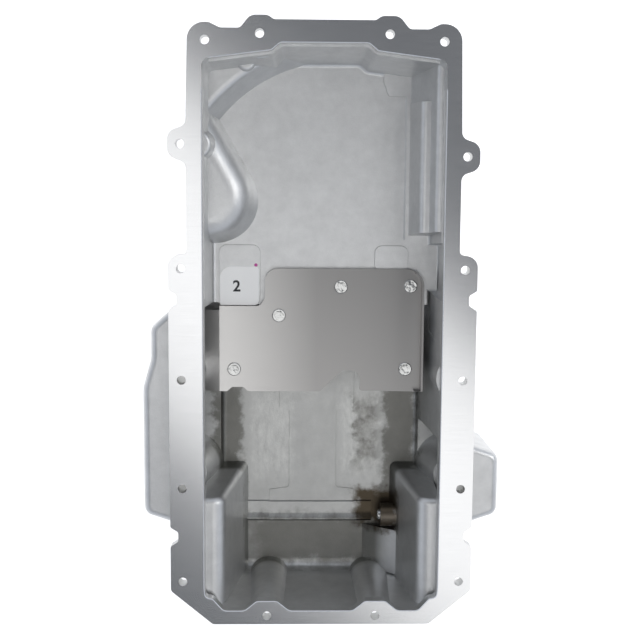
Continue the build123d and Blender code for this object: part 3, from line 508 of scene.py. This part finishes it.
def studio_camera(look):
    """The camera at the photograph's viewpoint."""
    camera = bpy.data.cameras.new("camera")
    camera.lens = look.lens
    camera.clip_start = CAMERA_NEAREST
    eye = new_object("camera", camera)
    eye.location = CAMERA_PLACE
    eye.rotation_euler = [math.radians(angle) for angle in CAMERA_TURN]
    return eye


class OilPanStage(bpy.types.Operator):
    """Sets up the floor, the soft studio light and the camera"""
    bl_idname = "oil_pan.stage"
    bl_label = "Floor, light and camera"

    def execute(self, context):
        look = context.scene.stage_look
        lay_floor(look)
        context.scene.world = light_tent(look)
        context.scene.view_settings.view_transform = "Standard"
        soft_box("band_light", *BAND_LIGHT, look.band_power)
        soft_box("side_light", *SIDE_LIGHT, look.side_power)
        context.scene.camera = studio_camera(look)
        return {"FINISHED"}


class OilPanCasting(bpy.types.Operator):
    """Gives the casting its cast and milled finish"""
    bl_idname = "oil_pan.casting"
    bl_label = "Casting"

    def execute(self, context):
        finish_of("pan_casting", cast_aluminium(context.scene.casting_look))
        return {"FINISHED"}


class OilPanPlate(bpy.types.Operator):
    """Gives the windage plate its rolled steel finish"""
    bl_idname = "oil_pan.plate"
    bl_label = "Windage plate"

    def execute(self, context):
        finish_of("windage_plate", rolled_steel(context.scene.plate_look))
        return {"FINISHED"}


class OilPanFasteners(bpy.types.Operator):
    """Gives the plate's bolts, the drain plug and its washer their finishes"""
    bl_idname = "oil_pan.fasteners"
    bl_label = "Fasteners"

    def execute(self, context):
        look = context.scene.fastener_look
        zinc = bright_zinc(look)
        for name in BOLTS + ["drain_plug"]:
            finish_of(name, zinc)
        finish_of("drain_washer", plain("sealing rubber", look.rubber, roughness=0.6))
        return {"FINISHED"}


class OilPanLabel(bpy.types.Operator):
    """Gives the label its film and its printed figure, and puts the paint dot beside it"""
    bl_idname = "oil_pan.label"
    bl_label = "Label"

    def execute(self, context):
        look = context.scene.label_look
        finish_of("number_label", plain("label film", look.film, roughness=0.45))
        low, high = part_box("number_label")
        figure = printed_figure(
            look, Vector((low.x + FIGURE_PLACE[0], low.y + FIGURE_PLACE[1], high.z + INK_HEIGHT)))
        figure.data.materials.append(plain("label ink", look.ink, roughness=0.5))
        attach(figure, "root")
        dot = paint_dot(Vector((high.x + DOT_PLACE[0], high.y + DOT_PLACE[1], low.z)))
        dot.data.materials.append(plain("marking paint", look.dot, roughness=0.4))
        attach(dot, "root")
        return {"FINISHED"}


class OilPanPanel(bpy.types.Panel):
    """Lists the sizes, the colours and the steps that dress the oil pan"""
    bl_idname = "VIEW3D_PT_oil_pan"
    bl_label = "Oil pan"
    bl_space_type = "VIEW_3D"
    bl_region_type = "UI"
    bl_category = "Oil pan"

    def draw(self, context):
        for name, group in LOOKS.items():
            box = self.layout.box()
            look = getattr(context.scene, name)
            for field in group.__annotations__:
                box.prop(look, field)
        for step in STEPS:
            self.layout.operator(step.bl_idname)


LOOKS = {
    "casting_look": CastingLook,
    "plate_look": PlateLook,
    "fastener_look": FastenerLook,
    "label_look": LabelLook,
    "stage_look": StageLook,
}
STEPS = [OilPanStage, OilPanCasting, OilPanPlate, OilPanFasteners, OilPanLabel]


def register():
    """Adds the sizes and colours, the operators and the panel."""
    for name, group in LOOKS.items():
        bpy.utils.register_class(group)
        setattr(bpy.types.Scene, name, PointerProperty(type=group))
    for step in STEPS:
        bpy.utils.register_class(step)
    bpy.utils.register_class(OilPanPanel)


def unregister():
    """Removes what register added."""
    bpy.utils.unregister_class(OilPanPanel)
    for step in STEPS:
        bpy.utils.unregister_class(step)
    for name, group in LOOKS.items():
        delattr(bpy.types.Scene, name)
        bpy.utils.unregister_class(group)


def main():
    """Registers the looks, steps and panel, and runs the steps that dress the pan."""
    register()
    bpy.ops.oil_pan.stage()
    bpy.ops.oil_pan.casting()
    bpy.ops.oil_pan.plate()
    bpy.ops.oil_pan.fasteners()
    bpy.ops.oil_pan.label()


if __name__ == "__main__":
    main()
